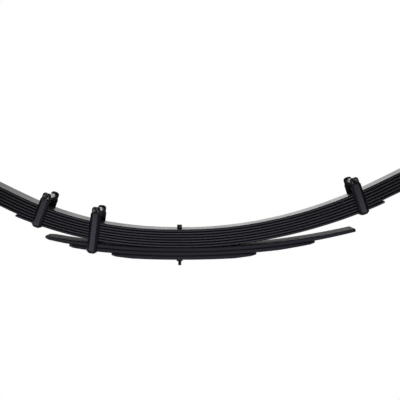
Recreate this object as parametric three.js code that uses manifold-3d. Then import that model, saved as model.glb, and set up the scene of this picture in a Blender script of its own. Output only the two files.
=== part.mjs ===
// A semi-elliptic leaf spring with two stages: a main pack of seven thin leaves, with an eye at each
// end, over three thick overload leaves that the main pack only meets once it is loaded.
// Millimetres, +Z up. The front arm, the shorter one, runs towards -X and the rear arm towards +X.
// The origin is on the centre bolt's axis, at the top face of the main leaf, where the axle sits.
import * as THREE from "three";
import { mergeVertices } from "three/addons/utils/BufferGeometryUtils.js";
import Module from "manifold-3d";

// Leaves. Lengths along an arm are measured on the main leaf's top face from the centre bolt.
const LEAF_WIDTH = 70;
const THIN = 7;
const THICK = 11.1;
const SEAT_HALF = 10; // half of the flat stretch under the centre bolt's head and nut
const CROWN_END = 20; // the leaves rise very little up to here, where the axle seat bears
const SEAT_GAP = 0.15; // between two leaves at the centre
const TIP_GAP = 1.3; // between two leaves, out where the tip pads are
const STAGE_GAP = 0.2; // main pack to overload leaves, at the centre
const STATION_STEP = 45;

// Each arm's curve as stretches of [length, radius], from the centre outwards.
const MAIN_ARCS = {
  front: [[CROWN_END, 4000], [171, 1110], [252, 885], [600, 5000]],
  rear: [[CROWN_END, 4000], [171, 1110], [346, 1200], [600, 5000]],
};
const OVERLOAD_ARCS = {
  front: [[CROWN_END, 4000], [880, 2020]],
  rear: [[CROWN_END, 4000], [880, 2135]],
};
const GAP_OPENS_BY = { front: 450, rear: 530 }; // length at which TIP_GAP is reached
const EYE_AT = { front: 640, rear: 780 };

// How far the leaves under the main and the wrap leaf reach. Their tips are cut square.
const MAIN_TIPS = [
  { front: 610, rear: 735 },
  { front: 580, rear: 705 },
  { front: 550, rear: 675 },
  { front: 520, rear: 640 },
  { front: 441, rear: 552 },
];
// The overload leaves' tips, rolled thinner over a length, to a thickness, with their corners cut
// off by a trim. A bare tip has no pad on it.
const OVERLOAD_TIPS = [
  {
    front: 375,
    rear: 483,
    taper: { front: 60, rear: 100 },
    thinned: { front: 8, rear: 8.5 },
    trim: { front: 15, rear: 3 },
    bare: true,
  },
  {
    front: 306,
    rear: 372,
    taper: { front: 90, rear: 100 },
    thinned: { front: 7.5, rear: 6.5 },
    trim: { front: 15, rear: 15 },
  },
  {
    front: 187,
    rear: 211,
    taper: { front: 60, rear: 60 },
    thinned: { front: 7, rear: 6.5 },
    trim: { front: 15, rear: 15 },
  },
];

// Eyes, rubber bushes and steel sleeves.
const EYE_RADIUS = 21;
const EYE_TURN = 314; // degrees that the main leaf is rolled round
const WRAP_TURN = 170; // degrees that the second leaf follows it
const CURL_STEP = 15;
const BUSH_RADIUS = 20.5;
const BUSH_BORE = 12.45;
const FLANGE_RADIUS = 27;
const FLANGE_THICKNESS = 4;
const SLEEVE_RADIUS = 12;
const SLEEVE_BORE = 8;
const SLEEVE_HALF = 40;
const ROUND_SIDES = 20;

// Tip pads, between one leaf's tip and the leaf above it.
const PAD_LENGTH = 36;
const PAD_WIDTH = 56;
const PAD_INSET = 17;
const PAD_CLEARANCE = 0.15;

// Threaded parts and rivets.
const BOLT_RADIUS = 5;
const HOLE_RADIUS = 5.4;
const HEX_FLATS = 17;
const HEAD_HEIGHT = 6.4;
const NUT_HEIGHT = 8;
const CENTRE_HEAD_RADIUS = 7;
const CENTRE_HEAD_HEIGHT = 10;
const CENTRE_TAIL = 12; // thread showing below the centre nut
const CLEARANCE = 0.3;
const RIVET_RADIUS = 4;
const RIVET_HOLE = 4.35;
const RIVET_HEAD_RADIUS = 7;
const RIVET_HEAD_HEIGHT = 3.6;

// Rebound clips: a flat bar bent to a U, with a bolt through the tops of its legs.
const STRAP_WIDTH = 28;
const STRAP_THICKNESS = 6.8;
const STRAP_INSIDE = 36.3;
const STRAP_CORNER = 9;
const STRAP_END = 10.5; // how far the bar goes on past the bolt's axis
const STRAP_END_CORNER = 8;
const EAR_WIDTH = 24; // the bar is narrower round the bolt
const EAR_LENGTH = 20; // from the shoulders to the bar's end
const SHOULDER = 2.5;
const SPACER_RADIUS = 6.2;
const CLIPS = [
  { name: "front_main_clip", side: "front", at: 380, under: "main", lean: 21.3, height: 91 },
  { name: "front_overload_clip", side: "front", at: 238, under: "overload", lean: 7.5, height: 119.5 },
  { name: "rear_main_clip", side: "rear", at: 492, under: "main", lean: -18.2, height: 94.8 },
];

const SIGN = { front: -1, rear: 1 };
const SIDES = ["front", "rear"];
const radians = THREE.MathUtils.degToRad;

const BLACK_PAINT = { color: 0x17181b, roughness: 0.42, metalness: 0.25 };
const BLACK_ZINC = { color: 0x1d1d1f, roughness: 0.35, metalness: 0.7 };
const RUBBER = { color: 0x101011, roughness: 0.85, metalness: 0 };
const BARE_STEEL = { color: 0x8b8c8e, roughness: 0.35, metalness: 0.95 };
const NYLON = { color: 0x1a1a1b, roughness: 0.6, metalness: 0 };

const wasm = await Module();
wasm.setup();

const spring = new THREE.Group();

function add(parent, name, geometry, finish) {
  const mesh = new THREE.Mesh(geometry, new THREE.MeshStandardMaterial(finish));
  mesh.name = name;
  parent.add(mesh);
  return mesh;
}

// A closed three.js geometry as a solid that can be joined and cut.
function solid(geometry) {
  const bare = new THREE.BufferGeometry();
  const source = geometry.index ? geometry.toNonIndexed() : geometry;
  bare.setAttribute("position", source.getAttribute("position"));
  const merged = mergeVertices(bare, 1e-4);
  const vertProperties = merged.attributes.position.array;
  const triVerts = new Uint32Array(merged.index.array);
  return new wasm.Manifold(new wasm.Mesh({ numProp: 3, vertProperties, triVerts }));
}

function geometryOf(body) {
  const { vertProperties, triVerts } = body.getMesh();
  const geometry = new THREE.BufferGeometry();
  geometry.setAttribute("position", new THREE.BufferAttribute(new Float32Array(vertProperties), 3));
  geometry.setIndex(new THREE.BufferAttribute(new Uint32Array(triVerts), 1));
  const flat = geometry.toNonIndexed();
  flat.computeVertexNormals();
  return flat;
}

// ---- Curves of the two packs ----

// The point at length s along an arm, with the directions outwards and up from the leaf.
function along(arcs, side, s) {
  let x = 0;
  let z = 0;
  let angle = 0;
  let left = s;
  for (const [length, radius] of arcs[side]) {
    const next = angle + Math.min(left, length) / radius;
    x += radius * (Math.sin(next) - Math.sin(angle));
    z += radius * (Math.cos(angle) - Math.cos(next));
    angle = next;
    left -= length;
    if (left <= 0) break;
  }
  const sign = SIGN[side];
  return {
    point: new THREE.Vector2(sign * x, z),
    out: new THREE.Vector2(sign * Math.cos(angle), Math.sin(angle)),
    up: new THREE.Vector2(-sign * Math.sin(angle), Math.cos(angle)),
  };
}

// A point (x, z) at a depth below a pack's top line, which is level with `top` on the flat seat.
function below(pack, side, s, depth) {
  const { point, up } = along(pack.arcs, side, s);
  const seat = along(pack.arcs, side, SEAT_HALF).point.y;
  return new THREE.Vector2(point.x, point.y + pack.top - seat).addScaledVector(up, -depth);
}

// The gap between two leaves at length s, where it has opened to TIP_GAP by length `by`.
function openedGap(s, by) {
  return SEAT_GAP + (TIP_GAP - SEAT_GAP) * Math.min(1, s / by) ** 3;
}

// How far an overload leaf lies below the one at the top of its pack: each gap opens towards the
// tip of the leaf under it.
function overloadDepth(index, side, s) {
  const gaps = OVERLOAD_TIPS.slice(1, index + 1).map((tip) => openedGap(s, tip[side]));
  return index * THICK + gaps.reduce((sum, gap) => sum + gap, 0);
}

const MAIN_COUNT = MAIN_TIPS.length + 2;
const MAIN = {
  arcs: MAIN_ARCS,
  top: 0,
  depth: (index, side, s) => index * (THIN + openedGap(s, GAP_OPENS_BY[side])),
  marks: MAIN_TIPS,
};
const OVERLOAD = {
  arcs: OVERLOAD_ARCS,
  top: -(MAIN_COUNT * THIN + (MAIN_COUNT - 1) * SEAT_GAP) - STAGE_GAP,
  depth: overloadDepth,
  marks: OVERLOAD_TIPS,
};

// A tip pad's two ends, for a leaf that reaches to a tip.
function padEnds(tip) {
  return [tip - PAD_INSET - PAD_LENGTH, tip - PAD_INSET];
}

// The lengths at which a pack's outlines have points. Its leaves share them, so their faces are parallel.
function stations(pack, side, from, to) {
  const marks = new Set([SEAT_HALF, CROWN_END, to]);
  for (let s = CROWN_END + STATION_STEP; s < to; s += STATION_STEP) marks.add(s);
  for (const tip of pack.marks) {
    marks.add(tip[side]);
    if (tip.taper) marks.add(tip[side] - tip.taper[side]);
    if (!tip.bare) padEnds(tip[side]).forEach((s) => marks.add(s));
  }
  return [...marks].filter((s) => s >= from && s <= to).sort((a, b) => a - b);
}

// ---- Leaves ----

function extrudeAcross(outline, width) {
  const geometry = new THREE.ExtrudeGeometry(new THREE.Shape(outline), {
    depth: width,
    bevelEnabled: false,
  });
  return geometry.rotateX(Math.PI / 2).translate(0, width / 2, 0);
}

// The outline of a strip whose rows each hold a point of its top and one of its underside.
function outlineOf(rows) {
  return [...rows.map((row) => row[0]), ...rows.map((row) => row[1]).reverse()];
}

function leafRows(leaf, side) {
  return stations(leaf.pack, side, SEAT_HALF, leaf[side]).map((s) => {
    const depth = leaf.pack.depth(leaf.index, side, s);
    const top = below(leaf.pack, side, s, depth);
    return [top, below(leaf.pack, side, s, depth + leaf.thickness(side, s))];
  });
}

function eyeCentre(side) {
  return below(MAIN, side, EYE_AT[side], -EYE_RADIUS);
}

// The rolled end of a leaf, round the eye's centre, as rows that go on from its arm's.
function curlRows(side, inner, turn) {
  const centre = eyeCentre(side);
  const { out, up } = along(MAIN_ARCS, side, EYE_AT[side]);
  const rows = [];
  const steps = Math.round(turn / CURL_STEP);
  for (let i = 1; i <= steps; i++) {
    const angle = radians((turn * i) / steps);
    const ray = out.clone().multiplyScalar(Math.sin(angle)).addScaledVector(up, -Math.cos(angle));
    const point = (radius) => centre.clone().addScaledVector(ray, radius);
    rows.push([point(inner), point(inner + THIN)]);
  }
  return rows;
}

// A prism that keeps what lies inside a leaf's plan, whose four corners are trimmed.
function planPrism(rows, trim) {
  const xs = rows.flat().map((point) => point.x);
  const low = Math.min(...xs);
  const high = Math.max(...xs);
  const half = LEAF_WIDTH / 2;
  const over = 1;
  const plan = new THREE.Shape();
  plan.moveTo(low - over, -half + trim.front - over);
  plan.lineTo(low + trim.front + over, -half - over);
  plan.lineTo(high - trim.rear - over, -half - over);
  plan.lineTo(high + over, -half + trim.rear - over);
  plan.lineTo(high + over, half - trim.rear + over);
  plan.lineTo(high - trim.rear - over, half + over);
  plan.lineTo(low + trim.front + over, half + over);
  plan.lineTo(low - over, half - trim.front + over);
  const reach = 600;
  return new THREE.ExtrudeGeometry(plan, { depth: 2 * reach, bevelEnabled: false }).translate(0, 0, -reach);
}

function upright(geometry) {
  return geometry.rotateX(Math.PI / 2);
}

function drill(radius, x, z, lean, length) {
  const bit = upright(new THREE.CylinderGeometry(radius, radius, length, ROUND_SIDES));
  return bit.rotateY(radians(lean)).translate(x, 0, z);
}

function makeLeaf(leaf, rivets) {
  const front = leafRows(leaf, "front");
  const rear = leafRows(leaf, "rear");
  if (leaf.turn) {
    const inner = EYE_RADIUS + leaf.pack.depth(leaf.index, "front", EYE_AT.front);
    front.push(...curlRows("front", inner, leaf.turn));
    rear.push(...curlRows("rear", inner, leaf.turn));
  }
  const rows = [...front.reverse(), ...rear];
  let body = solid(extrudeAcross(outlineOf(rows), LEAF_WIDTH));
  if (leaf.trim) body = body.intersect(solid(planPrism(rows, leaf.trim)));
  body = body.subtract(solid(drill(HOLE_RADIUS, 0, 0, 0, 400)));
  for (const rivet of rivets) {
    body = body.subtract(solid(drill(RIVET_HOLE, rivet.x, rivet.z, rivet.lean, 6 * THICK)));
  }
  add(spring, leaf.name, geometryOf(body), BLACK_PAINT);
}

const evenThickness = () => THIN;

function taperOf(tip) {
  return (side, s) => {
    const length = tip.taper[side];
    const into = Math.max(0, s - (tip[side] - length)) / length;
    return THICK - (THICK - tip.thinned[side]) * into;
  };
}

const mainLeaves = [
  { name: "main_leaf", ...EYE_AT, turn: EYE_TURN },
  { name: "wrap_leaf", ...EYE_AT, turn: WRAP_TURN },
  ...MAIN_TIPS.map((tip, i) => ({ name: `leaf_${i + 3}`, ...tip })),
].map((leaf, index) => ({ ...leaf, index, pack: MAIN, thickness: evenThickness }));
const overloadLeaves = OVERLOAD_TIPS.map((tip, index) => {
  return { name: `overload_leaf_${index + 1}`, ...tip, index, pack: OVERLOAD, thickness: taperOf(tip) };
});

// ---- Rebound clips ----

// Where a clip's bar sits: the middle of its outer face, just clear of the leaf it is riveted to.
function clipOrigin(clip) {
  const leaf = clip.under === "main" ? mainLeaves[MAIN_COUNT - 1] : overloadLeaves[1];
  const underside = (s) => {
    const depth = leaf.pack.depth(leaf.index, clip.side, s) + leaf.thickness(clip.side, s);
    return below(leaf.pack, clip.side, s, depth);
  };
  const lean = radians(clip.lean);
  const axis = new THREE.Vector2(Math.sin(lean), Math.cos(lean));
  const heights = [-1, 0, 1].map((k) => underside(clip.at + (k * STRAP_WIDTH) / 2).dot(axis));
  const drop = CLEARANCE + heights[1] - Math.min(...heights) + STRAP_THICKNESS;
  return { leaf, point: underside(clip.at).addScaledVector(axis, -drop), drop };
}

// The clip's U, seen along the leaves, extruded over the strap's width.
function strapU(height) {
  const outside = STRAP_INSIDE + STRAP_THICKNESS;
  const inner = STRAP_CORNER - STRAP_THICKNESS;
  const top = height + STRAP_END + 1;
  const u = new THREE.Shape();
  u.moveTo(-outside, top);
  u.absarc(-outside + STRAP_CORNER, STRAP_CORNER, STRAP_CORNER, Math.PI, 1.5 * Math.PI, false);
  u.absarc(outside - STRAP_CORNER, STRAP_CORNER, STRAP_CORNER, 1.5 * Math.PI, 2 * Math.PI, false);
  u.lineTo(outside, top);
  u.lineTo(STRAP_INSIDE, top);
  u.absarc(outside - STRAP_CORNER, STRAP_CORNER, inner, 0, -0.5 * Math.PI, true);
  u.absarc(-outside + STRAP_CORNER, STRAP_CORNER, inner, -0.5 * Math.PI, -Math.PI, true);
  u.lineTo(-STRAP_INSIDE, top);
  const geometry = new THREE.ExtrudeGeometry(u, {
    depth: STRAP_WIDTH,
    bevelEnabled: false,
    curveSegments: 4,
  }).translate(0, 0, -STRAP_WIDTH / 2);
  const across = new THREE.Vector3(0, 1, 0);
  const upwards = new THREE.Vector3(0, 0, 1);
  const outwards = new THREE.Vector3(1, 0, 0);
  return geometry.applyMatrix4(new THREE.Matrix4().makeBasis(across, upwards, outwards));
}

// The strap, seen across the leaves: shoulders, and above them an ear with two rounded corners.
function strapSide(height) {
  const half = STRAP_WIDTH / 2;
  const ear = EAR_WIDTH / 2;
  const end = height + STRAP_END;
  const shoulder = end - EAR_LENGTH;
  const round = end - STRAP_END_CORNER;
  const inset = ear - STRAP_END_CORNER;
  const side = new THREE.Shape();
  side.moveTo(-half - 1, -1);
  side.lineTo(half + 1, -1);
  side.lineTo(half + 1, shoulder);
  side.lineTo(half, shoulder);
  side.lineTo(ear, shoulder + SHOULDER);
  side.absarc(inset, round, STRAP_END_CORNER, 0, 0.5 * Math.PI, false);
  side.absarc(-inset, round, STRAP_END_CORNER, 0.5 * Math.PI, Math.PI, false);
  side.lineTo(-ear, shoulder + SHOULDER);
  side.lineTo(-half, shoulder);
  side.lineTo(-half - 1, shoulder);
  const width = 3 * LEAF_WIDTH;
  const geometry = new THREE.ExtrudeGeometry(side, { depth: width, bevelEnabled: false, curveSegments: 8 });
  return upright(geometry).translate(0, width / 2, 0);
}

// A hexagonal prism along Y from y0 to y1, with a round hole if a radius is given.
function hexagon(y0, y1, hole) {
  const corner = HEX_FLATS / Math.sqrt(3);
  const corners = [0, 60, 120, 180, 240, 300].map(radians);
  const outline = new THREE.Shape(
    corners.map((angle) => new THREE.Vector2(corner * Math.cos(angle), corner * Math.sin(angle))),
  );
  if (hole) outline.holes.push(new THREE.Path().absarc(0, 0, hole, 0, 2 * Math.PI, true));
  const settings = { depth: y1 - y0, bevelEnabled: false, curveSegments: ROUND_SIDES / 2 };
  return upright(new THREE.ExtrudeGeometry(outline, settings)).translate(0, y1, 0);
}

// A ring round the Y axis.
function ring(inner, outer, y0, y1) {
  const profile = [[inner, y0], [outer, y0], [outer, y1], [inner, y1], [inner, y0]];
  return lathe(profile);
}

function lathe(profile) {
  return new THREE.LatheGeometry(profile.map(([r, y]) => new THREE.Vector2(r, y)), ROUND_SIDES);
}

// A round-headed rivet along +Z: its head is below z = 0, and its shank reaches up to `length`.
function rivet(length) {
  const head = [0, 30, 60, 90].map((degrees) => {
    const angle = radians(degrees);
    return [RIVET_HEAD_RADIUS * Math.sin(angle), -RIVET_HEAD_HEIGHT * Math.cos(angle)];
  });
  return upright(lathe([...head, [RIVET_RADIUS, 0], [RIVET_RADIUS, length], [0, length]]));
}

const rivets = [];
for (const clip of CLIPS) {
  const { leaf, point, drop } = clipOrigin(clip);
  rivets.push({ leaf: leaf.name, x: point.x, z: point.y, lean: clip.lean, drop });
  const group = new THREE.Group();
  group.position.set(point.x, 0, point.y);
  group.rotation.y = radians(clip.lean);
  spring.add(group);

  const boltHole = new THREE.CylinderGeometry(HOLE_RADIUS, HOLE_RADIUS, 3 * LEAF_WIDTH, ROUND_SIDES);
  const strap = solid(strapU(clip.height))
    .intersect(solid(strapSide(clip.height)))
    .subtract(solid(boltHole.translate(0, 0, clip.height)))
    .subtract(solid(drill(RIVET_HOLE, 0, 0, 0, 4 * STRAP_THICKNESS)));
  add(group, `${clip.name}_strap`, geometryOf(strap), BLACK_PAINT);

  const face = STRAP_INSIDE + STRAP_THICKNESS + CLEARANCE;
  const head = hexagon(-face - HEAD_HEIGHT, -face);
  const end = face + NUT_HEIGHT + BOLT_RADIUS;
  const shank = new THREE.CylinderGeometry(BOLT_RADIUS, BOLT_RADIUS, end + face + 1, ROUND_SIDES);
  shank.translate(0, (end - face - 1) / 2, 0);
  const bolt = add(group, `${clip.name}_bolt`, geometryOf(solid(head).add(solid(shank))), BLACK_ZINC);
  const nut = add(group, `${clip.name}_nut`, hexagon(face, face + NUT_HEIGHT, HOLE_RADIUS), BLACK_ZINC);
  const reach = STRAP_INSIDE - CLEARANCE;
  const spacer = add(group, `${clip.name}_spacer`, ring(HOLE_RADIUS, SPACER_RADIUS, -reach, reach), BLACK_ZINC);
  for (const piece of [bolt, nut, spacer]) piece.position.z = clip.height;

  const shankLength = drop + leaf.thickness(clip.side, clip.at) - 1;
  const pin = add(group, `${clip.name}_rivet`, rivet(shankLength + CLEARANCE), BLACK_PAINT);
  pin.position.z = -CLEARANCE;
}

for (const leaf of [...mainLeaves, ...overloadLeaves]) {
  makeLeaf(leaf, rivets.filter((item) => item.leaf === leaf.name));
}

// ---- Centre bolt: a round head over the main leaf, a nut under the lowest leaf ----

const packDepth = overloadDepth(OVERLOAD_TIPS.length - 1, "rear", SEAT_HALF) + THICK;
const packBottom = OVERLOAD.top - packDepth;
const nutTop = packBottom - CLEARANCE;
const tailEnd = nutTop - NUT_HEIGHT - CENTRE_TAIL;
const headTop = CLEARANCE + CENTRE_HEAD_HEIGHT;
const centreBolt = upright(lathe([
  [0, tailEnd],
  [BOLT_RADIUS - 1, tailEnd],
  [BOLT_RADIUS, tailEnd + 1],
  [BOLT_RADIUS, CLEARANCE],
  [CENTRE_HEAD_RADIUS, CLEARANCE],
  [CENTRE_HEAD_RADIUS, headTop - 1],
  [CENTRE_HEAD_RADIUS - 1, headTop],
  [0, headTop],
]));
add(spring, "centre_bolt", centreBolt, BLACK_ZINC);
const centreNut = upright(hexagon(0, NUT_HEIGHT, HOLE_RADIUS));
add(spring, "centre_nut", centreNut, BLACK_ZINC).position.z = nutTop - NUT_HEIGHT;

// ---- Bushes and sleeves in the two eyes ----

const flangeFrom = LEAF_WIDTH / 2 + CLEARANCE;
const flangeTo = flangeFrom + FLANGE_THICKNESS;
for (const side of SIDES) {
  const centre = eyeCentre(side);
  const eye = new THREE.Group();
  eye.position.set(centre.x, 0, centre.y);
  spring.add(eye);
  for (const hand of ["left", "right"]) {
    const half = lathe([
      [BUSH_BORE, CLEARANCE],
      [BUSH_RADIUS, CLEARANCE],
      [BUSH_RADIUS, flangeFrom],
      [FLANGE_RADIUS, flangeFrom],
      [FLANGE_RADIUS, flangeTo],
      [BUSH_BORE, flangeTo],
      [BUSH_BORE, CLEARANCE],
    ]);
    const bush = add(eye, `${side}_bush_${hand}`, half, RUBBER);
    if (hand === "right") bush.rotation.z = Math.PI;
  }
  add(eye, `${side}_sleeve`, ring(SLEEVE_BORE, SLEEVE_RADIUS, -SLEEVE_HALF, SLEEVE_HALF), BARE_STEEL);
}

// ---- Nylon pads on the tips ----

function addPad(name, leaf, upper, side) {
  const [from, to] = padEnds(leaf[side]);
  const rows = stations(leaf.pack, side, from, to).map((s) => {
    const floor = leaf.pack.depth(leaf.index, side, s) - PAD_CLEARANCE;
    const upperFace = leaf.pack.depth(upper.index, side, s) + upper.thickness(side, s);
    const ceiling = upperFace + PAD_CLEARANCE;
    return [below(leaf.pack, side, s, ceiling), below(leaf.pack, side, s, floor)];
  });
  add(spring, name, extrudeAcross(outlineOf(rows), PAD_WIDTH), NYLON);
}

for (const side of SIDES) {
  for (const leaf of mainLeaves.slice(2)) {
    addPad(`${side}_tip_pad_${leaf.index + 1}`, leaf, mainLeaves[leaf.index - 1], side);
  }
  for (const leaf of overloadLeaves.slice(1)) {
    addPad(`${side}_overload_pad_${leaf.index + 1}`, leaf, overloadLeaves[leaf.index - 1], side);
  }
}

export default spring;
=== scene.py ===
"""The looks of a two-stage leaf spring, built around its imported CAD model.

Lengths are in millimetres until a mesh is made, and every curve is the one that the CAD follows:
+X towards the rear eye, +Y across the leaves, +Z up, with the origin at the main leaf's top face.
Lengths s along the pack are measured from the centre bolt, negative on the front arm.
"""

import math

import bmesh
import bpy
import numpy as np
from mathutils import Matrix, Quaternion, Vector


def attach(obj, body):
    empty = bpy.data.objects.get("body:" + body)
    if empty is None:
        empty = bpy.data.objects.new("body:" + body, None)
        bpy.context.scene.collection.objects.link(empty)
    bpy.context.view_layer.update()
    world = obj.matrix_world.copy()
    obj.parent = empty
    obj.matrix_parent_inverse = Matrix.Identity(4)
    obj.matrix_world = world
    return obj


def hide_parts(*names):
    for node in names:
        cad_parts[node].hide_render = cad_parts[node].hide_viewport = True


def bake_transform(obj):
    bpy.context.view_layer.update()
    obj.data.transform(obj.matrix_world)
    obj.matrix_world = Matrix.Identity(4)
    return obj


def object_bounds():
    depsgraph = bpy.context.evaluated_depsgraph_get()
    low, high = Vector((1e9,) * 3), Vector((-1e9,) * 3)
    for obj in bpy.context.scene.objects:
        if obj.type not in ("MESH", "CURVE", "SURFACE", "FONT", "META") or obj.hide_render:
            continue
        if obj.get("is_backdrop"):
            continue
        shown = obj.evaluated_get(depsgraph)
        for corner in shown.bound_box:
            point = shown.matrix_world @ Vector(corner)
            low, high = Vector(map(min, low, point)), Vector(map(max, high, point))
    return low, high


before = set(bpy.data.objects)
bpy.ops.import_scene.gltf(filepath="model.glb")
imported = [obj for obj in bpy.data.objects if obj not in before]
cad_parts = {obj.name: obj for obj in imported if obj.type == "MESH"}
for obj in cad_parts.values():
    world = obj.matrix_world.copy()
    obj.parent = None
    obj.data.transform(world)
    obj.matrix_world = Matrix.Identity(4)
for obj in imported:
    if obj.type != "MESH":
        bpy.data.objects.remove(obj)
low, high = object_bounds()

# ---- Sizes, as in the CAD ----

LEAF_WIDTH, THIN, THICK = 70, 7, 11.1
SEAT_HALF, SEAT_GAP, TIP_GAP, STAGE_GAP = 10, 0.15, 1.3, 0.2
MAIN_ARCS = {
    "front": [(20, 4000), (171, 1110), (252, 885), (600, 5000)],
    "rear": [(20, 4000), (171, 1110), (346, 1200), (600, 5000)],
}
OVERLOAD_ARCS = {"front": [(20, 4000), (880, 2020)], "rear": [(20, 4000), (880, 2135)]}
GAP_OPENS_BY = {"front": 450, "rear": 530}
EYE_AT = {"front": 640, "rear": 780}
MAIN_TIPS = [
    {"front": 610, "rear": 735},
    {"front": 580, "rear": 705},
    {"front": 550, "rear": 675},
    {"front": 520, "rear": 640},
    {"front": 441, "rear": 552},
]
OVERLOAD_TIPS = [
    {"front": 375, "rear": 483, "taper": {"front": 60, "rear": 100},
     "thinned": {"front": 8, "rear": 8.5}, "trim": {"front": 15, "rear": 3}},
    {"front": 306, "rear": 372, "taper": {"front": 90, "rear": 100},
     "thinned": {"front": 7.5, "rear": 6.5}, "trim": {"front": 15, "rear": 15}},
    {"front": 187, "rear": 211, "taper": {"front": 60, "rear": 60},
     "thinned": {"front": 7, "rear": 6.5}, "trim": {"front": 15, "rear": 15}},
]
EYE_RADIUS, EYE_TURN, WRAP_TURN = 21, 314, 170
BUSH_RADIUS, BUSH_BORE, FLANGE_RADIUS, FLANGE_THICKNESS = 20.5, 12.45, 27, 4
SLEEVE_RADIUS, SLEEVE_BORE, SLEEVE_HALF = 12, 8, 40
PAD_LENGTH, PAD_WIDTH, PAD_INSET, PAD_CLEARANCE = 36, 56, 17, 0.15
BOLT_RADIUS, HEX_FLATS, HEAD_HEIGHT, NUT_HEIGHT, PITCH = 5, 17, 6.4, 8, 1.5
CENTRE_HEAD_RADIUS, CENTRE_HEAD_HEIGHT, CENTRE_TAIL, CLEARANCE = 7, 10, 12, 0.3
RIVET_RADIUS, RIVET_HEAD_RADIUS, RIVET_HEAD_HEIGHT = 4, 7, 3.6
STRAP_WIDTH, STRAP_THICKNESS, STRAP_INSIDE, STRAP_CORNER = 28, 6.8, 36.3, 9
STRAP_END, STRAP_END_CORNER, SPACER_RADIUS = 10.5, 8, 6.2
EAR_WIDTH, EAR_LENGTH, SHOULDER = 24, 20, 2.5  # where the bar is narrower, round the bolt
CLIPS = [
    {"name": "front_main_clip", "side": "front", "at": 380, "under": "main", "lean": 21.3, "height": 91,
     "body": "front_main_stage"},
    {"name": "front_overload_clip", "side": "front", "at": 238, "under": "overload", "lean": 7.5,
     "height": 119.5, "body": "front_overload_stage"},
    {"name": "rear_main_clip", "side": "rear", "at": 492, "under": "main", "lean": -18.2, "height": 94.8,
     "body": "rear_main_stage"},
]

# ---- Finer shapes, beyond the CAD's ----

THIN_EDGE, THICK_EDGE = 2.4, 2.8  # rounding of the rolled edges
ROW_SPACING, CURL_STEP = 9, 4  # between a leaf's rows, along an arm and in degrees round an eye
TIP_LEAD = 0.6  # a row this far ahead of a tip's rounding keeps the flats flat
TRIM_ROUND = 0.7  # softness of the corner where a tip's trim begins
TRIM_ROWS = (7, 3, 1.5, 0.7, 0, -0.7, -1.5)  # rows before and after that corner
PAD_EDGE, PAD_STEPS = 0.3, 8
STRAP_OUTER_EDGE, STRAP_INNER_EDGE, STRAP_BEVEL = 5.6, 1.0, 1.33
SPACER_BORE, SPACER_CHAMFER, SLEEVE_CHAMFER = 5.4, 0.5, 0.8
CENTRE_HEAD_ROUND, CENTRE_HEAD_CHAMFER = 1.2, 0.3
RIVET_SHORT = 1  # how far a rivet's hidden end stays inside its leaf
SHANK_PLAY, NUT_PLAY, NUT_LEAD = 0.05, 0.1, 0.8
HEX_CROWN, HEX_CHAMFER_ANGLE = 0.97, 30
HEAD_DISH = [(0.74, 0), (0.62, 0.35), (0.45, 1.0), (0.25, 1.1)]  # parts of the half flats, depths
THREAD_START, THREAD_DEPTH, THREAD_TIP = 0.3, 0.61, 1.0  # the first two in parts of the pitch
THREAD_FORM = [(0, 0), (0.42, 1), (0.55, 1), (0.93, 0)]  # parts of the pitch and of the depth
HIDDEN_THREAD = 10  # how far the centre bolt's thread reaches up into the pack
FLANGE_LIP, BUSH_CHAMFER = 1.4, 0.5
FLANGE_GROOVE = [(21.5, 0), (20.6, 0.9), (19, 1.2), (17.4, 0.9), (16.5, 0)]  # radii, depths
GRAIN_STEP, OVERLOAD_GRAIN = 173, 1000  # set one leaf's surface marks apart from the next one's
STRAP_GRAIN_STEP, STRAP_GRAIN = 3, 50  # and one strap's, by its place along the pack

# How far from the centre bolt a main leaf's two pieces meet, and for each side two bodies and a stretch
# from one x to another in metres, given to the lowest overload pad, which is then left unattached.
SEAM = {"front": 228, "rear": 196}
OVERLOAD_BEND = {
    "front": ("spring_centre", "front_overload_stage", -0.05, -0.19),
    "rear": ("spring_centre", "rear_overload_stage", 0.05, 0.19),
}
SIGN = {"front": -1, "rear": 1}

# ---- The packs' curves ----


def along(arcs, side, s):
    """The top line's point at length s on an arm, and the direction up from it."""
    x = z = angle = 0.0
    left = s
    for length, radius in arcs[side]:
        ahead = angle + min(left, length) / radius
        x += radius * (math.sin(ahead) - math.sin(angle))
        z += radius * (math.cos(angle) - math.cos(ahead))
        angle = ahead
        left -= length
        if left <= 0:
            break
    sign = SIGN[side]
    return np.array([sign * x, z]), np.array([-sign * math.sin(angle), math.cos(angle)])


def opened_gap(s, by):
    """The gap between two leaves, which opens from the seat until the length `by`."""
    return SEAT_GAP + (TIP_GAP - SEAT_GAP) * min(1, s / by) ** 3


def main_depth(index, side, s):
    return index * (THIN + opened_gap(s, GAP_OPENS_BY[side]))


def overload_depth(index, side, s):
    return index * THICK + sum(opened_gap(s, tip[side]) for tip in OVERLOAD_TIPS[1 : index + 1])


MAIN = {"arcs": MAIN_ARCS, "top": 0, "depth": main_depth}
OVERLOAD_TOP = -(7 * THIN + 6 * SEAT_GAP) - STAGE_GAP
OVERLOAD = {"arcs": OVERLOAD_ARCS, "top": OVERLOAD_TOP, "depth": overload_depth}


def below(pack, side, s, depth):
    """The point at a depth below a pack's top line, and the direction up."""
    point, up = along(pack["arcs"], side, s)
    seat = along(pack["arcs"], side, SEAT_HALF)[0][1]
    return point + [0, pack["top"] - seat] - up * depth, up


def taper(tip):
    def thickness(side, s):
        length = tip["taper"][side]
        into = max(0, s - (tip[side] - length)) / length
        return THICK - (THICK - tip["thinned"][side]) * into

    return thickness


def thin(side, s):
    return THIN


def eye_centre(side):
    return below(MAIN, side, EYE_AT[side], -EYE_RADIUS)[0]


# ---- Meshes ----


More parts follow.
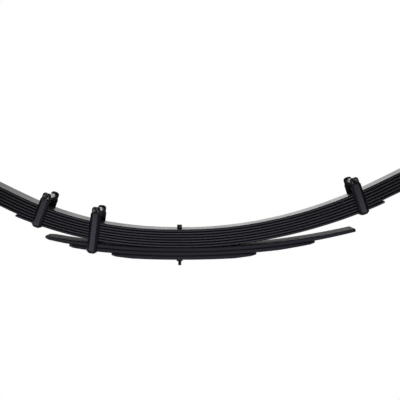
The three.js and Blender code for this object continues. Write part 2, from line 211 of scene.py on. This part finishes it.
def make(name, verts, faces, material, grain=None, crease=35):
    """A mesh from millimetres, smooth but for its sharp edges, with a `grain` position for its material."""
    data = bpy.data.meshes.new(name)
    data.from_pydata([tuple(v) for v in np.asarray(verts, float) / 1000], [], faces)
    spots = np.asarray(verts if grain is None else grain, float) / 1000
    held = data.attributes.new("grain", "FLOAT_VECTOR", "POINT")
    held.data.foreach_set("vector", spots.astype(np.float32).ravel())
    work = bmesh.new()
    work.from_mesh(data)
    bmesh.ops.recalc_face_normals(work, faces=work.faces)
    work.to_mesh(data)
    work.free()
    data.shade_smooth()
    data.set_sharp_from_angle(angle=math.radians(crease))
    data.materials.append(material)
    piece = bpy.data.objects.new(name, data)
    bpy.context.scene.collection.objects.link(piece)
    return piece


def finish_piece(piece, body, slot, *nodes):
    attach(piece, body)
    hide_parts(*nodes)


# A bevel's outline from the side over to the top, in parts of its width and depth.
ROLLED_BEVEL = [(0, 1), (0.08, 0.85), (0.38, 0.55), (0.7, 0.27), (1, 0)]


def section(w, h, r, under=None, reach=1.0):
    """A bar's outline, half width w by half thickness h, with its corners rounded.

    The corners of its underside may have a radius of their own, `under`. Where `reach` isn't 1 the
    upper corners are rolled bevels, that many times as wide as they are deep. Points beside each
    rounding hold the flats flat, and a thin bar's roundings are squeezed so that they don't meet.
    """
    r = max(r, 0.01)
    under = r if under is None else under
    squeeze = min(1, 0.98 * 2 * h / (r + under), 0.98 * w / max(r, under))
    side = min(0.4, 0.3 * (2 * h - (r + under) * squeeze))

    def quarter(radius, reach):
        radius *= squeeze
        over = min(radius * reach, 0.95 * w)
        arc = [math.radians(22.5 * k) for k in range(5)]
        curve = [(1 - math.cos(a), 1 - math.sin(a)) for a in arc] if reach == 1 else ROLLED_BEVEL
        spots = [(w, h - radius - side)]
        spots += [(w - over * across, h - radius * down) for across, down in curve]
        return spots + [(w - over - min(1.5, 0.45 * (w - over)), h)]

    upper, lower = quarter(r, reach), quarter(under, 1)
    return (upper + [(-u, v) for u, v in reversed(upper)] + [(-u, -v) for u, v in lower]
            + [(u, -v) for u, v in reversed(lower)])


def sweep(rows, reach=1.0):
    """Vertices, faces and grain of a bar.

    Each row is (centre, width axis, thickness axis, w, h, r, under, s).
    """
    verts, faces, grain = [], [], []
    for centre, across, up, w, h, r, under, s in rows:
        for u, v in section(w, h, r, under, reach):
            verts.append(np.asarray(centre) + np.asarray(across) * u + np.asarray(up) * v)
            grain.append((s, u, v))
    n = len(section(1, 1, 0.1))
    for i in range(len(rows) - 1):
        for k in range(n):
            a, b = i * n + k, i * n + (k + 1) % n
            faces.append((a, b, b + n, a + n))
    faces.append(tuple(range(n - 1, -1, -1)))
    faces.append(tuple(range((len(rows) - 1) * n, len(rows) * n)))
    return verts, faces, grain


def end_steps(r):
    """How far from a rounded end each row lies, and how much it is drawn in there."""
    steps = []
    for k in range(1, 5):
        a = math.radians(22.5 * k)
        steps.append((r - r * math.sin(a), r - r * math.cos(a)))
    return steps


def spun(profile, sides):
    """The points of a profile of (radius, height), at each of its places round +Z."""
    verts = []
    for k in range(sides):
        a = 2 * math.pi * k / sides
        verts += [(r * math.cos(a), r * math.sin(a), t) for r, t in profile]
    return verts


def lathe(profile, sides=48):
    """Vertices and faces of a closed profile of (radius, height) round +Z."""
    faces = []
    n = len(profile)
    for k in range(sides):
        for i in range(n):
            a, b = k * n + i, k * n + (i + 1) % n
            c, d = ((k + 1) % sides) * n + (i + 1) % n, ((k + 1) % sides) * n + i
            faces.append((a, b, c, d))
    return spun(profile, sides), faces


def turned(profile, sides=48):
    """As lathe, for a profile that starts and ends on the axis."""
    body = profile[1:-1]
    faces = []
    n = len(body)
    for k in range(sides):
        for i in range(n - 1):
            a, d = k * n + i, ((k + 1) % sides) * n + i
            faces.append((a, a + 1, d + 1, d))
    faces.append(tuple(k * n for k in range(sides)))
    faces.append(tuple(k * n + n - 1 for k in reversed(range(sides))))
    return spun(body, sides), faces


def tube_profile(bore, radius, half, chamfer):
    """The profile of a tube from -half to half, chamfered at both ends."""
    near = [(bore, chamfer - half), (bore + chamfer, -half), (radius - chamfer, -half),
            (radius, chamfer - half)]
    return near + [(r, -t) for r, t in reversed(near)]


def rounded(radius, top, r):
    """A profile's corner at a radius and a height, rounded by r, from its side over to its top."""
    spots = []
    for k in range(5):
        a = math.radians(22.5 * k)
        spots.append((radius - r + r * math.cos(a), top - r + r * math.sin(a)))
    return spots


def between(one, two, sides):
    """The faces between two rings, which start at the vertices `one` and `two`."""
    faces = []
    for k in range(sides):
        j = (k + 1) % sides
        faces.append((one + k, one + j, two + j, two + k))
    return faces


def hexagon(height, bore=None, sides=72):
    """A hexagon's vertices and faces from 0 up to height, chamfered at the top.

    Without a bore it is a head, whose top is forged with a shallow dish.
    """
    flat = HEX_FLATS / 2
    crown = flat * HEX_CROWN
    slope = math.tan(math.radians(HEX_CHAMFER_ANGLE))
    rings = [[], [], []]
    for k in range(sides):
        a = 2 * math.pi * k / sides
        fold = (a + math.pi / 6) % (math.pi / 3) - math.pi / 6
        radius = flat / math.cos(fold)
        drop = max(0.0, (radius - crown) * slope)
        for ring, (r, t) in zip(rings, [(radius, 0), (radius, height - drop), (crown, height)]):
            ring.append((r * math.cos(a), r * math.sin(a), t))
    verts = rings[0] + rings[1] + rings[2]
    faces = between(0, sides, sides) + between(sides, 2 * sides, sides)
    if bore is None:
        faces.append(tuple(reversed(range(sides))))
        inner = 2 * sides
        for part, drop in HEAD_DISH:
            outer, inner = inner, len(verts)
            verts += spun([(flat * part, height - drop)], sides)
            faces += between(outer, inner, sides)
        faces.append(tuple(range(inner, inner + sides)))
        return verts, faces
    lead = bore + NUT_LEAD
    loops = [2 * sides]
    for r, t in [(lead, height), (bore, height - NUT_LEAD), (bore, NUT_LEAD), (lead, 0)]:
        loops.append(len(verts))
        verts += spun([(r, t)], sides)
    for one, two in zip(loops, loops[1:] + [0]):
        faces += between(one, two, sides)
    return verts, faces


def threaded(start, end, radius):
    """A profile out from the axis, along a threaded stretch between two heights, and back."""
    depth = THREAD_DEPTH * PITCH
    profile = [(0, start), (radius, start)]
    t = start + THREAD_START * PITCH
    while t + PITCH < end - THREAD_TIP:
        profile += [(radius - depth * sunk, t + PITCH * part) for part, sunk in THREAD_FORM]
        t += PITCH
    return profile + [(radius, end - THREAD_TIP), (radius - THREAD_TIP, end), (0, end)]


def along_y(verts, y=0.0, flip=False):
    """Turns a shape round +Z into one along +Y, or -Y if flipped, from y."""
    turn = -1 if flip else 1
    return [(x * turn, y + z * turn, yy) for x, yy, z in verts]


def joined(*shapes):
    verts, faces = [], []
    for v, f in shapes:
        base = len(verts)
        verts += list(v)
        faces += [tuple(i + base for i in face) for face in f]
    return verts, faces


# ---- Materials ----


class Nodes:
    """Builds one node material."""

    def __init__(self, name):
        self.material = bpy.data.materials.new(name)
        self.material.use_nodes = True
        self.tree = self.material.node_tree
        self.tree.nodes.clear()
        out = self.add("ShaderNodeOutputMaterial")
        self.shader = self.add("ShaderNodeBsdfPrincipled")
        self.link(self.shader.outputs[0], out.inputs["Surface"])

    def add(self, kind, **values):
        node = self.tree.nodes.new(kind)
        for key, value in values.items():
            setattr(node, key, value)
        return node

    def link(self, a, b):
        self.tree.links.new(a, b)

    def grain(self, stretch):
        """The grain position, scaled along, across and through."""
        source = self.add("ShaderNodeAttribute", attribute_name="grain")
        mapping = self.add("ShaderNodeMapping")
        mapping.inputs["Scale"].default_value = stretch
        self.link(source.outputs["Vector"], mapping.inputs["Vector"])
        return mapping.outputs[0]

    def noise(self, stretch, scale, detail, rough=0.55):
        node = self.add("ShaderNodeTexNoise")
        node.inputs["Scale"].default_value = scale
        node.inputs["Detail"].default_value = detail
        node.inputs["Roughness"].default_value = rough
        self.link(self.grain(stretch), node.inputs["Vector"])
        return node.outputs["Fac"]

    def remap(self, value, a, b, c, d):
        node = self.add("ShaderNodeMapRange")
        for key, number in zip(("From Min", "From Max", "To Min", "To Max"), (a, b, c, d)):
            node.inputs[key].default_value = number
        self.link(value, node.inputs["Value"])
        return node.outputs[0]

    def total(self, a, b):
        node = self.add("ShaderNodeMath", operation="ADD")
        self.link(a, node.inputs[0])
        self.link(b, node.inputs[1])
        return node.outputs[0]

    def mix(self, factor, one, two):
        """Two colours, each a tuple or another node's output."""
        node = self.add("ShaderNodeMix", data_type="RGBA")
        self.link(factor, node.inputs[0])
        for socket, value in ((node.inputs[6], one), (node.inputs[7], two)):
            if isinstance(value, tuple):
                socket.default_value = (*value, 1)
            else:
                self.link(value, socket)
        return node.outputs[2]

    def bump(self, height, distance, strength, normal=None):
        node = self.add("ShaderNodeBump")
        node.inputs["Distance"].default_value = distance
        node.inputs["Strength"].default_value = strength
        self.link(height, node.inputs["Height"])
        if normal is not None:
            self.link(normal, node.inputs["Normal"])
        return node.outputs[0]


def painted(name, roughness, specular=0.5, painted_light_gain=1.0):
    """Satin black paint over rolled spring steel: a little orange peel, faint roll marks, odd dust."""
    n = Nodes(name)
    cloud = n.noise((1, 1, 1), 14, 3)
    roll = n.noise((6, 160, 160), 1, 3)
    peel = n.noise((1, 1, 1), 700, 2)
    dust = n.noise((1, 1, 1), 420, 2, 0.7)
    # A gain above 1 makes a lighter copy of the same paint: painted light in its colour.
    dark = tuple(painted_light_gain * c for c in (0.011, 0.0108, 0.0145))
    light = tuple(painted_light_gain * c for c in (0.0165, 0.0163, 0.0205))
    base = n.mix(n.remap(cloud, 0.35, 0.65, 0, 1), dark, light)
    base = n.mix(n.remap(dust, 0.66, 0.78, 0, 0.35), base, (0.05, 0.05, 0.05))
    n.link(base, n.shader.inputs["Base Color"])
    n.shader.inputs["Specular IOR Level"].default_value = specular
    clouded = n.remap(cloud, 0.3, 0.7, roughness - 0.035, roughness + 0.035)
    rolled = n.remap(roll, 0.3, 0.7, -0.03, 0.03)
    n.link(n.total(clouded, rolled), n.shader.inputs["Roughness"])
    normal = n.bump(roll, 0.0002, 0.35)
    normal = n.bump(peel, 0.00006, 0.5, normal)
    n.link(normal, n.shader.inputs["Normal"])
    return n.material


def plated():
    """Black plated fasteners, with fine turning marks, and light spots painted in as glints: painted
    highlights.
    """
    n = Nodes("black_zinc")
    cloud = n.noise((1, 1, 1), 180, 3)
    fine = n.noise((1, 1, 1), 1600, 2)
    # The light spots in this colour are painted highlights: glints laid on the heads, nuts and tubes.
    base = n.mix(n.remap(cloud, 0.5, 0.64, 0, 1), (0.013, 0.013, 0.015), (0.19, 0.185, 0.17))
    n.link(base, n.shader.inputs["Base Color"])
    n.shader.inputs["Metallic"].default_value = 0.75
    n.link(n.remap(cloud, 0.3, 0.7, 0.2, 0.34), n.shader.inputs["Roughness"])
    n.link(n.bump(fine, 0.00003, 0.5), n.shader.inputs["Normal"])
    return n.material


def rubber():
    """Matt moulded rubber with a bloom."""
    n = Nodes("rubber")
    cloud = n.noise((1, 1, 1), 90, 4)
    fine = n.noise((1, 1, 1), 900, 3)
    base = n.mix(n.remap(cloud, 0.35, 0.7, 0, 1), (0.009, 0.009, 0.009), (0.021, 0.021, 0.022))
    n.link(base, n.shader.inputs["Base Color"])
    n.link(n.remap(cloud, 0.3, 0.7, 0.68, 0.86), n.shader.inputs["Roughness"])
    n.link(n.bump(fine, 0.00008, 0.5), n.shader.inputs["Normal"])
    return n.material


def turned_steel():
    """Bare turned steel: rings round the sleeve, and a few darker stains."""
    n = Nodes("bare_steel")
    rings = n.noise((1, 1400, 1), 1, 2)
    cloud = n.noise((1, 1, 1), 60, 4)
    base = n.mix(n.remap(cloud, 0.4, 0.72, 0, 1), (0.47, 0.47, 0.48), (0.32, 0.31, 0.3))
    n.link(base, n.shader.inputs["Base Color"])
    n.shader.inputs["Metallic"].default_value = 1.0
    n.link(n.remap(rings, 0.3, 0.7, 0.24, 0.42), n.shader.inputs["Roughness"])
    n.link(n.bump(rings, 0.00003, 0.5), n.shader.inputs["Normal"])
    return n.material


def nylon():
    """Dark moulded nylon."""
    n = Nodes("nylon")
    cloud = n.noise((1, 1, 1), 110, 3)
    fine = n.noise((1, 1, 1), 1100, 2)
    base = n.mix(n.remap(cloud, 0.35, 0.65, 0, 1), (0.016, 0.016, 0.017), (0.028, 0.028, 0.03))
    n.link(base, n.shader.inputs["Base Color"])
    n.link(n.remap(cloud, 0.3, 0.7, 0.5, 0.65), n.shader.inputs["Roughness"])
    n.link(n.bump(fine, 0.00005, 0.4), n.shader.inputs["Normal"])
    return n.material


PAINT = painted("black_paint", 0.345)
# The dulled paint's colour is made twice as light: painted light, making up for the shine its rougher finish
# loses.
DULL_PAINT = painted("black_paint_dulled", 0.62, specular=0.45, painted_light_gain=2.0)
ZINC = plated()
RUBBER = rubber()
STEEL = turned_steel()
NYLON = nylon()

# ---- Leaves ----

main_ends = [("main_leaf", {**EYE_AT, "turn": EYE_TURN}), ("wrap_leaf", {**EYE_AT, "turn": WRAP_TURN})]
main_ends += [(f"leaf_{i + 3}", tip) for i, tip in enumerate(MAIN_TIPS)]
main_leaves = [
    {"name": name, "index": i, "pack": MAIN, "thickness": thin, "edge": THIN_EDGE, "paint": PAINT, **ends}
    for i, (name, ends) in enumerate(main_ends)
]
overload_leaves = [
    {"name": f"overload_leaf_{i + 1}", "index": i, "pack": OVERLOAD, "thickness": taper(tip),
     "edge": THICK_EDGE, "paint": DULL_PAINT, **tip}
    for i, tip in enumerate(OVERLOAD_TIPS)
]
ACROSS = np.array([0, 1, 0])


def flat3(pair):
    return np.array([pair[0], 0, pair[1]])


def tip_width(e, trim):
    """Half of a leaf's width at a distance e from its tip, where the corners are cut off by a trim."""
    past = trim - e
    cut = 0.5 * (past + math.hypot(past, TRIM_ROUND))
    return LEAF_WIDTH / 2 - cut + 0.5 * (math.hypot(trim, TRIM_ROUND) - trim)


def arm_rows(leaf, side, start, end, to_tip):
    """Rows along an arm between two lengths, the second one rounded off if it is the leaf's tip."""
    tip, edge = leaf[side], leaf["edge"]
    trim = leaf["trim"][side] if "trim" in leaf else 0
    marks = list(np.linspace(start, end, max(2, math.ceil((end - start) / ROW_SPACING) + 1)))
    draws = {}
    if to_tip:
        turns = [trim + e for e in TRIM_ROWS] if trim else []
        marks = [s for s in marks if s < end - trim - TRIM_ROWS[0]]
        marks += [end - e for e in turns + [edge + TIP_LEAD, edge]]
        for e, inset in end_steps(edge):
            draws[len(marks)] = inset
            marks.append(end - e)
    rows = []
    for i, s in enumerate(marks):
        thickness = leaf["thickness"](side, s)
        depth = leaf["pack"]["depth"](leaf["index"], side, s)
        point, up = below(leaf["pack"], side, s, depth + thickness / 2)
        w = tip_width(tip - s, trim) if to_tip and trim else LEAF_WIDTH / 2
        inset = draws.get(i, 0)
        half = thickness / 2
        rows.append((flat3(point), ACROSS, flat3(up), w - inset, half - inset, edge - inset, None,
                     SIGN[side] * s))
    return rows


def curl_rows(leaf, side):
    """Rows round the eye, on from the arm's end."""
    centre = eye_centre(side)
    up = below(MAIN, side, EYE_AT[side], 0)[1]
    out = SIGN[side] * np.array([up[1], -up[0]])
    radius = EYE_RADIUS + leaf["pack"]["depth"](leaf["index"], side, EYE_AT[side]) + THIN / 2
    turn = math.radians(leaf["turn"])
    edge = leaf["edge"]
    count = math.ceil(leaf["turn"] / CURL_STEP)
    spots = [(turn * i / count, 0) for i in range(1, count)]
    spots += [(turn - e / radius, inset) for e, inset in [(edge, 0)] + end_steps(edge)]
    rows = []
    for a, inset in spots:
        ray = out * math.sin(a) - up * math.cos(a)
        s = SIGN[side] * (EYE_AT[side] + a * radius)
        rows.append((flat3(centre + ray * radius), ACROSS, flat3(-ray), LEAF_WIDTH / 2 - inset,
                     THIN / 2 - inset, edge - inset, None, s))
    return rows


def blended(piece):
    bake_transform(piece)


def leaf_piece(leaf, part, rows):
    """One visible piece of a leaf, made in place and not attached to any body."""
    verts, faces, grain = sweep(rows)
    offset = GRAIN_STEP * leaf["index"] + (OVERLOAD_GRAIN if leaf["pack"] is OVERLOAD else 0)
    grain = np.array(grain) + [0, 0, offset]
    piece = make(f"{leaf['name']}_{part}", verts, faces, leaf["paint"], grain)
    blended(piece)
    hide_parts(leaf["name"])


def main_arm(leaf, side):
    """An arm of a thin leaf, in two pieces that meet at the seam."""
    seam = SEAM[side]
    leaf_piece(leaf, f"{side}_inner", arm_rows(leaf, side, 0, seam, False))
    rows = arm_rows(leaf, side, seam, leaf[side], "turn" not in leaf)
    if "turn" in leaf:
        rows += curl_rows(leaf, side)
    leaf_piece(leaf, f"{side}_outer", rows)


for leaf in main_leaves:
    main_arm(leaf, "front")
    main_arm(leaf, "rear")
for leaf in overload_leaves:
    for side in ("front", "rear"):
        leaf_piece(leaf, side, arm_rows(leaf, side, 0, leaf[side], True))

# ---- Tip pads ----


def pad(name, leaf, upper, side, body, how=None):
    """A pad between the tip of a leaf and the one above, which rides on a body, or is left unattached when
    `how` is given.
    """
    start = leaf[side] - PAD_INSET - PAD_LENGTH
    rows = []
    for k in range(PAD_STEPS + 1):
        s = start + PAD_LENGTH * k / PAD_STEPS
        floor = leaf["pack"]["depth"](leaf["index"], side, s) - PAD_CLEARANCE
        ceiling = leaf["pack"]["depth"](upper["index"], side, s) + upper["thickness"](side, s)
        ceiling += PAD_CLEARANCE
        point, up = below(leaf["pack"], side, s, (floor + ceiling) / 2)
        rows.append((flat3(point), ACROSS, flat3(up), PAD_WIDTH / 2, (floor - ceiling) / 2, PAD_EDGE, None,
                     SIGN[side] * s))
    verts, faces, grain = sweep(rows)
    piece = make(f"{name}_block", verts, faces, NYLON, grain)
    if how:
        blended(piece)
    else:
        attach(piece, body)
    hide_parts(name)


for side in ("front", "rear"):
    for leaf in main_leaves[2:]:
        upper = main_leaves[leaf["index"] - 1]
        pad(f"{side}_tip_pad_{leaf['index'] + 1}", leaf, upper, side, f"{side}_main_stage")
    for leaf in overload_leaves[1:]:
        upper = overload_leaves[leaf["index"] - 1]
        how = OVERLOAD_BEND[side] if leaf is overload_leaves[2] else None
        pad(f"{side}_overload_pad_{leaf['index'] + 1}", leaf, upper, side, f"{side}_overload_stage", how)

# ---- Rebound clips ----


def clip_origin(clip):
    """The middle of a clip's foot, its depth under the leaf above it, and that leaf's thickness."""
    leaf = main_leaves[6] if clip["under"] == "main" else overload_leaves[1]

    def underside(s):
        depth = leaf["pack"]["depth"](leaf["index"], clip["side"], s) + leaf["thickness"](clip["side"], s)
        return below(leaf["pack"], clip["side"], s, depth)[0]

    lean = math.radians(clip["lean"])
    axis = np.array([math.sin(lean), math.cos(lean)])
    heights = [underside(clip["at"] + k * STRAP_WIDTH / 2) @ axis for k in (-1, 0, 1)]
    drop = CLEARANCE + heights[1] - min(heights) + STRAP_THICKNESS
    return underside(clip["at"]) - axis * drop, drop, leaf["thickness"](clip["side"], clip["at"])


def placed(verts, clip, origin, lift=0.0):
    """From a clip's own frame, with its local Z up its legs, to the spring's."""
    lean = math.radians(clip["lean"])
    c, s = math.cos(lean), math.sin(lean)
    raised = [(x, y, z + lift) for x, y, z in verts]
    return [(origin[0] + x * c + z * s, y, origin[1] - x * s + z * c) for x, y, z in raised]


def strap_rows(height):
    """The clip's bar, down one leg, under the leaves and up the other, rounder on its outside."""
    half = STRAP_THICKNESS / 2
    leg = STRAP_INSIDE + half
    bend = STRAP_CORNER - half
    top = height + STRAP_END
    shoulder = top - EAR_LENGTH
    round_from = top - STRAP_END_CORNER
    bar, ear = STRAP_WIDTH / 2, EAR_WIDTH / 2
    legs = [(z, bar) for z in np.linspace(STRAP_CORNER, shoulder, 10)]
    legs += [(shoulder + SHOULDER * t, bar + (ear - bar) * t) for t in (0.1, 0.5, 0.9, 1)]
    legs += [(z, ear) for z in np.linspace(shoulder + SHOULDER, round_from, 4)[1:]]
    for k in range(1, 13):
        a = math.radians(7.5 * k)
        width = ear - STRAP_END_CORNER * (1 - math.cos(a))
        legs.append((round_from + STRAP_END_CORNER * math.sin(a), width))
    spots = []
    for z, w in reversed(legs):
        into = max(0, STRAP_INNER_EDGE * 1.5 - (top - z))
        spots.append((-leg, z, -1, 0, w, half - 0.5 * into))
    for k in range(1, 8):
        a = math.radians(90 * k / 8)
        c, s = math.cos(a), math.sin(a)
        spots.append((-leg + bend - bend * c, STRAP_CORNER - bend * s, -c, -s, bar, half))
    for y in np.linspace(-leg + bend, 0, 7):
        spots.append((y, half, 0, -1, bar, half))
    other = [(-y, z, -ny, nz, w, h) for y, z, ny, nz, w, h in reversed(spots[:-1])]
    rows = []
    length = 0.0
    last = spots[0]
    for y, z, ny, nz, w, h in spots + other:
        length += math.hypot(y - last[0], z - last[1])
        last = (y, z)
        rows.append(((0, y, z), (1, 0, 0), (0, ny, nz), w, h, STRAP_OUTER_EDGE, STRAP_INNER_EDGE, length))
    return rows


def dome(radius, height, shank, length):
    """A round head below z = 0 and its shank above it."""
    ball = (radius**2 + height**2) / (2 * height)
    reach = math.asin(min(1, radius / ball))
    head = []
    for k in range(9):
        a = reach * k / 8
        head.append((ball * math.sin(a), -height + ball - ball * math.cos(a)))
    return head + [(radius, 0.0), (shank, 0.0), (shank, length), (0, length)]


SHANK = BOLT_RADIUS - SHANK_PLAY
NUT_BORE = BOLT_RADIUS + NUT_PLAY

for clip in CLIPS:
    origin, drop, thickness = clip_origin(clip)
    name, body, height = clip["name"], clip["body"], clip["height"]
    verts, faces, grain = sweep(strap_rows(height), STRAP_BEVEL)
    grain = np.array(grain) + [clip["at"] * STRAP_GRAIN_STEP, 0, STRAP_GRAIN]
    strap = make(f"{name}_strap_bar", placed(verts, clip, origin), faces, PAINT, grain, crease=20)
    finish_piece(strap, body, "black_paint", f"{name}_strap")

    face = STRAP_INSIDE + STRAP_THICKNESS + CLEARANCE
    head = hexagon(HEAD_HEIGHT)
    shank = turned(threaded(-face, face + NUT_HEIGHT + BOLT_RADIUS, SHANK))
    shape = joined((along_y(head[0], -face, True), head[1]), (along_y(shank[0]), shank[1]))
    bolt = make(f"{name}_bolt_whole", placed(shape[0], clip, origin, height), shape[1], ZINC)
    finish_piece(bolt, body, "black_zinc", f"{name}_bolt")

    nut = hexagon(NUT_HEIGHT, NUT_BORE)
    nut = make(f"{name}_nut_whole", placed(along_y(nut[0], face), clip, origin, height), nut[1], ZINC)
    finish_piece(nut, body, "black_zinc", f"{name}_nut")

    tube = lathe(tube_profile(SPACER_BORE, SPACER_RADIUS, STRAP_INSIDE - CLEARANCE, SPACER_CHAMFER))
    spacer = make(f"{name}_spacer_tube", placed(along_y(tube[0]), clip, origin, height), tube[1], ZINC)
    finish_piece(spacer, body, "black_zinc", f"{name}_spacer")

    length = drop + thickness - RIVET_SHORT + CLEARANCE
    pin = turned(dome(RIVET_HEAD_RADIUS, RIVET_HEAD_HEIGHT, RIVET_RADIUS, length))
    pin = make(f"{name}_rivet_round", placed(pin[0], clip, origin, -CLEARANCE), pin[1], PAINT)
    finish_piece(pin, body, "black_paint", f"{name}_rivet")

# ---- Centre bolt and nut ----

pack_bottom = OVERLOAD["top"] - overload_depth(2, "rear", SEAT_HALF) - THICK
nut_top = pack_bottom - CLEARANCE
tail_end = nut_top - NUT_HEIGHT - CENTRE_TAIL
head_top = CLEARANCE + CENTRE_HEAD_HEIGHT
tail = [(r, -t) for r, t in threaded(-nut_top - HIDDEN_THREAD, -tail_end, SHANK)]
cap = [(SHANK, CLEARANCE), (CENTRE_HEAD_RADIUS - CENTRE_HEAD_CHAMFER, CLEARANCE),
       (CENTRE_HEAD_RADIUS, CLEARANCE + CENTRE_HEAD_CHAMFER)]
cap += rounded(CENTRE_HEAD_RADIUS, head_top, CENTRE_HEAD_ROUND)
cap.append((0, head_top))
shape = turned(list(reversed(tail))[:-1] + cap)
centre_bolt = make("centre_bolt_whole", shape[0], shape[1], ZINC)
finish_piece(centre_bolt, "spring_centre", "black_zinc", "centre_bolt")
shape = hexagon(NUT_HEIGHT, NUT_BORE)
hung = [(x, -y, nut_top - z) for x, y, z in shape[0]]
centre_nut = make("centre_nut_whole", hung, shape[1], ZINC)
finish_piece(centre_nut, "spring_centre", "black_zinc", "centre_nut")

# ---- Bushes and sleeves ----

flange_from = LEAF_WIDTH / 2 + CLEARANCE
flange_to = flange_from + FLANGE_THICKNESS


def bush_profile():
    """Half a bush: a barrel, and a flange with a round lip and a shallow groove in its face."""
    barrel = [(BUSH_BORE, CLEARANCE), (BUSH_RADIUS, CLEARANCE), (BUSH_RADIUS, flange_from)]
    back = [(FLANGE_RADIUS - BUSH_CHAMFER, flange_from), (FLANGE_RADIUS, flange_from + BUSH_CHAMFER)]
    lip = rounded(FLANGE_RADIUS, flange_to, FLANGE_LIP)
    groove = [(r, flange_to - deep) for r, deep in FLANGE_GROOVE]
    mouth = [(BUSH_BORE + BUSH_CHAMFER, flange_to), (BUSH_BORE, flange_to - BUSH_CHAMFER)]
    return barrel + back + lip + groove + mouth


for side in ("front", "rear"):
    centre = flat3(eye_centre(side))
    for hand, flip in (("left", False), ("right", True)):
        shape = lathe(bush_profile(), 64)
        verts = np.array(along_y(shape[0], 0, flip)) + centre
        bush = make(f"{side}_bush_{hand}_rubber", verts, shape[1], RUBBER)
        finish_piece(bush, f"{side}_main_stage", "rubber", f"{side}_bush_{hand}")
    shape = lathe(tube_profile(SLEEVE_BORE, SLEEVE_RADIUS, SLEEVE_HALF, SLEEVE_CHAMFER), 64)
    sleeve = make(f"{side}_sleeve_tube", np.array(along_y(shape[0])) + centre, shape[1], STEEL)
    finish_piece(sleeve, f"{side}_eye", "bare_steel", f"{side}_sleeve")

# ---- Light, background and camera ----

scene = bpy.context.scene
scene.view_settings.view_transform = "Standard"

world = bpy.data.worlds.new("studio")
scene.world = world
world.use_nodes = True
tree = world.node_tree
tree.nodes.clear()


def world_node(kind, **values):
    node = tree.nodes.new(kind)
    for key, value in values.items():
        setattr(node, key, value)
    return node


def fade(source, start, end, low_value, high_value):
    node = world_node("ShaderNodeMapRange", interpolation_type="SMOOTHSTEP")
    for key, number in zip(("From Min", "From Max", "To Min", "To Max"), (start, end, low_value, high_value)):
        node.inputs[key].default_value = number
    tree.links.new(source, node.inputs["Value"])
    return node.outputs[0]


def times(a, b):
    node = world_node("ShaderNodeMath", operation="MULTIPLY")
    tree.links.new(a, node.inputs[0])
    tree.links.new(b, node.inputs[1])
    return node.outputs[0]


# A pale band behind and below the spring, brighter to the right, in a dim room. What the camera sees
# directly is plain white. The fades run between directions, as parts of 1 along X, Y and Z.
BAND, BAND_LEFT, ROOM = 1.95, 1.05, 0.06
coords = world_node("ShaderNodeTexCoord")
split = world_node("ShaderNodeSeparateXYZ")
tree.links.new(coords.outputs["Generated"], split.inputs[0])
level = fade(split.outputs[0], -0.25, 0.05, BAND_LEFT - ROOM, BAND - ROOM)
band = times(fade(split.outputs[1], 0.2, 0.8, 0, 1), fade(split.outputs[2], 0.25, 0.6, 1, 0))
glow = times(band, level)
around = world_node("ShaderNodeMath", operation="ADD")
around.inputs[1].default_value = ROOM
tree.links.new(glow, around.inputs[0])
studio = world_node("ShaderNodeBackground")
tree.links.new(around.outputs[0], studio.inputs["Strength"])
white = world_node("ShaderNodeBackground")
for shader in (studio, white):
    shader.inputs["Color"].default_value = (1, 1, 1, 1)
path = world_node("ShaderNodeLightPath")
choose = world_node("ShaderNodeMixShader")
tree.links.new(path.outputs["Is Camera Ray"], choose.inputs[0])
tree.links.new(studio.outputs[0], choose.inputs[1])
tree.links.new(white.outputs[0], choose.inputs[2])
out = world_node("ShaderNodeOutputWorld")
tree.links.new(choose.outputs[0], out.inputs["Surface"])


def soft_light(name, spot, target, width, height, radiance, tint=(1, 1, 1)):
    """A rectangular light that faces a target, as bright as its radiance says."""
    lamp = bpy.data.lights.new(name, "AREA")
    lamp.shape = "RECTANGLE"
    lamp.size, lamp.size_y, lamp.energy = width, height, radiance * math.pi * width * height
    lamp.color = tint
    holder = bpy.data.objects.new(name, lamp)
    holder.location = spot
    aim = np.array(target) - np.array(spot)
    holder.rotation_mode = "QUATERNION"
    holder.rotation_quaternion = Vector(aim).to_track_quat("-Z", "Y")
    holder.visible_camera = False
    scene.collection.objects.link(holder)
    holder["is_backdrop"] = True


soft_light("front_softbox", spot=(-0.05, -3.0, -0.75), target=(-0.05, 0, 0), width=4.8, height=1.3,
           radiance=1.75, tint=(0.97, 0.96, 1.15))
soft_light("left_softbox", spot=(-3.2, 0.9, -0.1), target=(-0.2, 0, 0), width=1.4, height=1.0,
           radiance=2.5)

# A pale floor close under the spring, which only the camera sees, as plain white like what is behind.
FLOOR_SIZE, FLOOR_GAP = 14, 0.004
bpy.ops.mesh.primitive_plane_add(size=FLOOR_SIZE, location=(0, 0, low[2] - FLOOR_GAP))
floor = bpy.context.object
floor.name = "floor"
floor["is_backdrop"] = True
pale = bpy.data.materials.new("pale_floor")
pale.use_nodes = True
pale.node_tree.nodes.clear()
shine = pale.node_tree.nodes.new("ShaderNodeEmission")
shine.inputs["Color"].default_value = (1, 1, 1, 1)
target = pale.node_tree.nodes.new("ShaderNodeOutputMaterial")
pale.node_tree.links.new(shine.outputs[0], target.inputs["Surface"])
floor.data.materials.append(pale)
for ray in ("diffuse", "glossy", "transmission", "volume_scatter", "shadow"):
    setattr(floor, f"visible_{ray}", False)

CAMERA_LENS, CAMERA_SENSOR, CAMERA_AT = 49.3, 36, (0.110, -1.520, 0.168)
CAMERA_LEFT, CAMERA_DOWN, CAMERA_ROLL = 1.98, 3.36, -0.25  # degrees
camera = bpy.data.objects.new("camera", bpy.data.cameras.new("camera"))
camera.data.lens = CAMERA_LENS
camera.data.sensor_width = CAMERA_SENSOR
camera.location = CAMERA_AT
look = Vector((-math.tan(math.radians(CAMERA_LEFT)), 1, -math.tan(math.radians(CAMERA_DOWN))))
roll = Quaternion((0, 0, 1), math.radians(CAMERA_ROLL))
camera.rotation_mode = "QUATERNION"
camera.rotation_quaternion = look.to_track_quat("-Z", "Y") @ roll
scene.collection.objects.link(camera)
scene.camera = camera

low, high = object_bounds()
